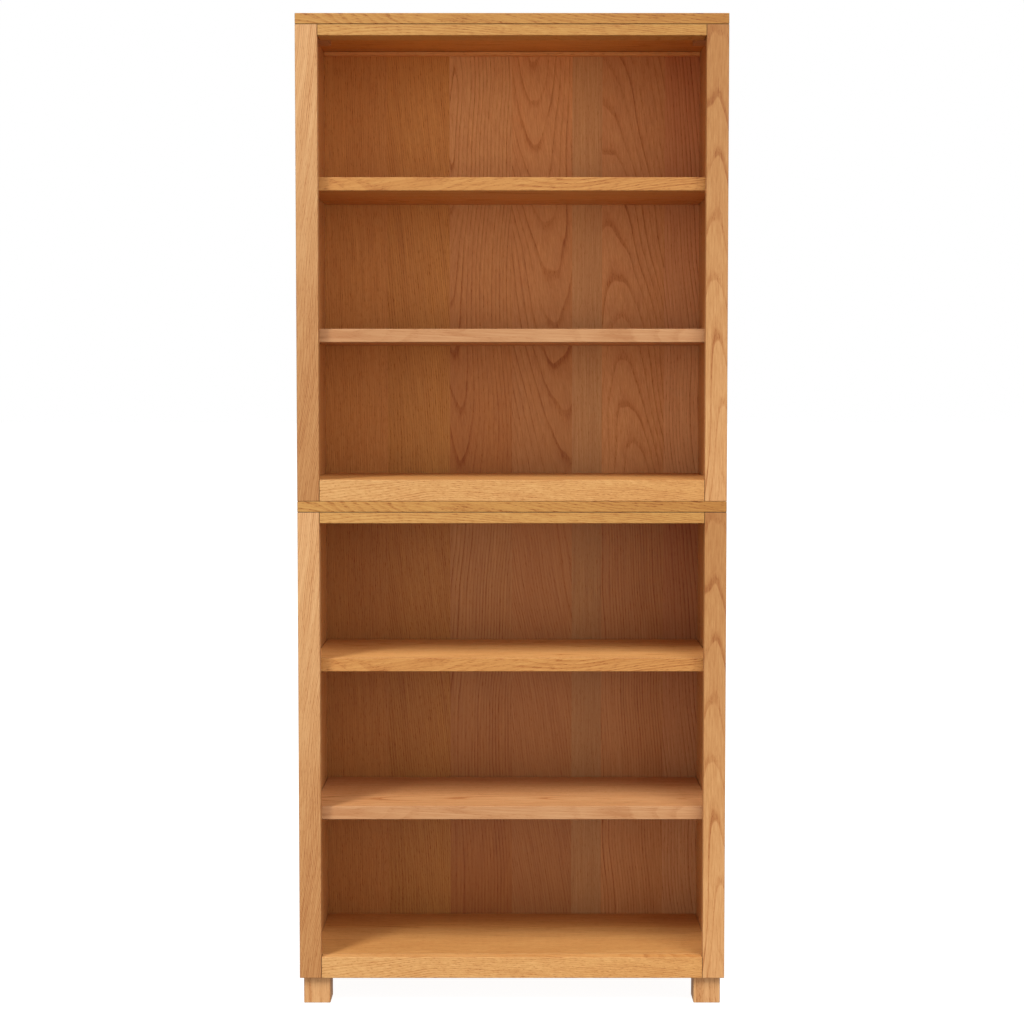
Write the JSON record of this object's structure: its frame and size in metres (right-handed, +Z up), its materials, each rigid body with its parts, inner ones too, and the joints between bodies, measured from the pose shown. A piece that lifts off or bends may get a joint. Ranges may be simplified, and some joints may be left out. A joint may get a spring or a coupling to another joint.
{
  "type": "bookcase with adjustable shelves",
  "caption": "Tall open oak bookcase of two stacked cases on square feet, with front frames, staved backs and loose shelves resting on pegs in rows of holes.",
  "frame": {"origin": "centre of the footprint, on the floor under the feet", "axes": "+Z up, -Y out of the open front, +X to the right for a viewer who faces the open front"},
  "size_m": [0.8, 0.32, 1.85],
  "materials": {
    "top_oak": "satin oiled oak, lengthwise grain",
    "frame_oak": "satin oiled oak, lengthwise grain",
    "side_oak": "satin oiled oak, vertical grain",
    "shelf_oak": "satin oiled oak, lengthwise grain",
    "back_oak": "satin oiled oak staves, vertical grain",
    "foot_oak": "satin oiled oak, vertical grain",
    "block_oak": "sawn oak, unfinished",
    "beech": "plain fluted beech",
    "steel": "zinc-plated steel"
  },
  "bodies": {
    "carcass": {"lower_top_board": "top_oak", "lower_stile_left": "frame_oak", "lower_stile_right": "frame_oak", "lower_top_rail": "frame_oak", "lower_bottom_rail": "frame_oak", "lower_side_left": "side_oak", "lower_side_right": "side_oak", "lower_bottom_panel": "shelf_oak", "lower_back_panel": "back_oak", "lower_back_batten": "back_oak", "lower_top_block_left": "block_oak", "lower_top_block_right": "block_oak", "upper_top_board": "top_oak", "upper_stile_left": "frame_oak", "upper_stile_right": "frame_oak", "upper_top_rail": "frame_oak", "upper_bottom_rail": "frame_oak", "upper_side_left": "side_oak", "upper_side_right": "side_oak", "upper_bottom_panel": "shelf_oak", "upper_back_panel": "back_oak", "upper_back_batten": "back_oak", "upper_top_block_left": "block_oak", "upper_top_block_right": "block_oak", "stack_dowel_left": "beech", "stack_screw_left": "steel", "stack_dowel_right": "beech", "stack_screw_right": "steel", "foot_front_left": "foot_oak", "corner_block_front_left": "block_oak", "foot_bolt_front_left": "steel", "foot_front_right": "foot_oak", "corner_block_front_right": "block_oak", "foot_bolt_front_right": "steel", "foot_back_left": "foot_oak", "corner_block_back_left": "block_oak", "foot_bolt_back_left": "steel", "foot_back_right": "foot_oak", "corner_block_back_right": "block_oak", "foot_bolt_back_right": "steel"},
    "lower_shelf_1": {"lower_shelf_1": "shelf_oak"},
    "lower_shelf_2": {"lower_shelf_2": "shelf_oak"},
    "upper_shelf_1": {"upper_shelf_1": "shelf_oak"},
    "upper_shelf_2": {"upper_shelf_2": "shelf_oak"},
    "lower_peg_1_left_front": {"lower_peg_1_left_front": "steel"},
    "lower_peg_1_left_back": {"lower_peg_1_left_back": "steel"},
    "lower_peg_1_right_front": {"lower_peg_1_right_front": "steel"},
    "lower_peg_1_right_back": {"lower_peg_1_right_back": "steel"},
    "lower_peg_2_left_front": {"lower_peg_2_left_front": "steel"},
    "lower_peg_2_left_back": {"lower_peg_2_left_back": "steel"},
    "lower_peg_2_right_front": {"lower_peg_2_right_front": "steel"},
    "lower_peg_2_right_back": {"lower_peg_2_right_back": "steel"},
    "upper_peg_1_left_front": {"upper_peg_1_left_front": "steel"},
    "upper_peg_1_left_back": {"upper_peg_1_left_back": "steel"},
    "upper_peg_1_right_front": {"upper_peg_1_right_front": "steel"},
    "upper_peg_1_right_back": {"upper_peg_1_right_back": "steel"},
    "upper_peg_2_left_front": {"upper_peg_2_left_front": "steel"},
    "upper_peg_2_left_back": {"upper_peg_2_left_back": "steel"},
    "upper_peg_2_right_front": {"upper_peg_2_right_front": "steel"},
    "upper_peg_2_right_back": {"upper_peg_2_right_back": "steel"}
  },
  "joints": [
    {"name": "lift_lower_shelf_1", "type": "slide", "parent": "carcass", "child": "lower_shelf_1", "axis": [0, 0, 1], "range_m": [0, 0.064]},
    {"name": "lift_lower_shelf_2", "type": "slide", "parent": "carcass", "child": "lower_shelf_2", "axis": [0, 0, 1], "range_m": [0, 0.064]},
    {"name": "lift_upper_shelf_1", "type": "slide", "parent": "carcass", "child": "upper_shelf_1", "axis": [0, 0, 1], "range_m": [0, 0.064]},
    {"name": "lift_upper_shelf_2", "type": "slide", "parent": "carcass", "child": "upper_shelf_2", "axis": [0, 0, 1], "range_m": [0, 0.064]},
    {"name": "pull_lower_peg_1_left_front", "type": "slide", "parent": "carcass", "child": "lower_peg_1_left_front", "axis": [1, 0, 0], "range_m": [0, 0.01]},
    {"name": "pull_lower_peg_1_left_back", "type": "slide", "parent": "carcass", "child": "lower_peg_1_left_back", "axis": [1, 0, 0], "range_m": [0, 0.01]},
    {"name": "pull_lower_peg_1_right_front", "type": "slide", "parent": "carcass", "child": "lower_peg_1_right_front", "axis": [-1, 0, 0], "range_m": [0, 0.01]},
    {"name": "pull_lower_peg_1_right_back", "type": "slide", "parent": "carcass", "child": "lower_peg_1_right_back", "axis": [-1, 0, 0], "range_m": [0, 0.01]},
    {"name": "pull_lower_peg_2_left_front", "type": "slide", "parent": "carcass", "child": "lower_peg_2_left_front", "axis": [1, 0, 0], "range_m": [0, 0.01]},
    {"name": "pull_lower_peg_2_left_back", "type": "slide", "parent": "carcass", "child": "lower_peg_2_left_back", "axis": [1, 0, 0], "range_m": [0, 0.01]},
    {"name": "pull_lower_peg_2_right_front", "type": "slide", "parent": "carcass", "child": "lower_peg_2_right_front", "axis": [-1, 0, 0], "range_m": [0, 0.01]},
    {"name": "pull_lower_peg_2_right_back", "type": "slide", "parent": "carcass", "child": "lower_peg_2_right_back", "axis": [-1, 0, 0], "range_m": [0, 0.01]},
    {"name": "pull_upper_peg_1_left_front", "type": "slide", "parent": "carcass", "child": "upper_peg_1_left_front", "axis": [1, 0, 0], "range_m": [0, 0.01]},
    {"name": "pull_upper_peg_1_left_back", "type": "slide", "parent": "carcass", "child": "upper_peg_1_left_back", "axis": [1, 0, 0], "range_m": [0, 0.01]},
    {"name": "pull_upper_peg_1_right_front", "type": "slide", "parent": "carcass", "child": "upper_peg_1_right_front", "axis": [-1, 0, 0], "range_m": [0, 0.01]},
    {"name": "pull_upper_peg_1_right_back", "type": "slide", "parent": "carcass", "child": "upper_peg_1_right_back", "axis": [-1, 0, 0], "range_m": [0, 0.01]},
    {"name": "pull_upper_peg_2_left_front", "type": "slide", "parent": "carcass", "child": "upper_peg_2_left_front", "axis": [1, 0, 0], "range_m": [0, 0.01]},
    {"name": "pull_upper_peg_2_left_back", "type": "slide", "parent": "carcass", "child": "upper_peg_2_left_back", "axis": [1, 0, 0], "range_m": [0, 0.01]},
    {"name": "pull_upper_peg_2_right_front", "type": "slide", "parent": "carcass", "child": "upper_peg_2_right_front", "axis": [-1, 0, 0], "range_m": [0, 0.01]},
    {"name": "pull_upper_peg_2_right_back", "type": "slide", "parent": "carcass", "child": "upper_peg_2_right_back", "axis": [-1, 0, 0], "range_m": [0, 0.01]}
  ]
}
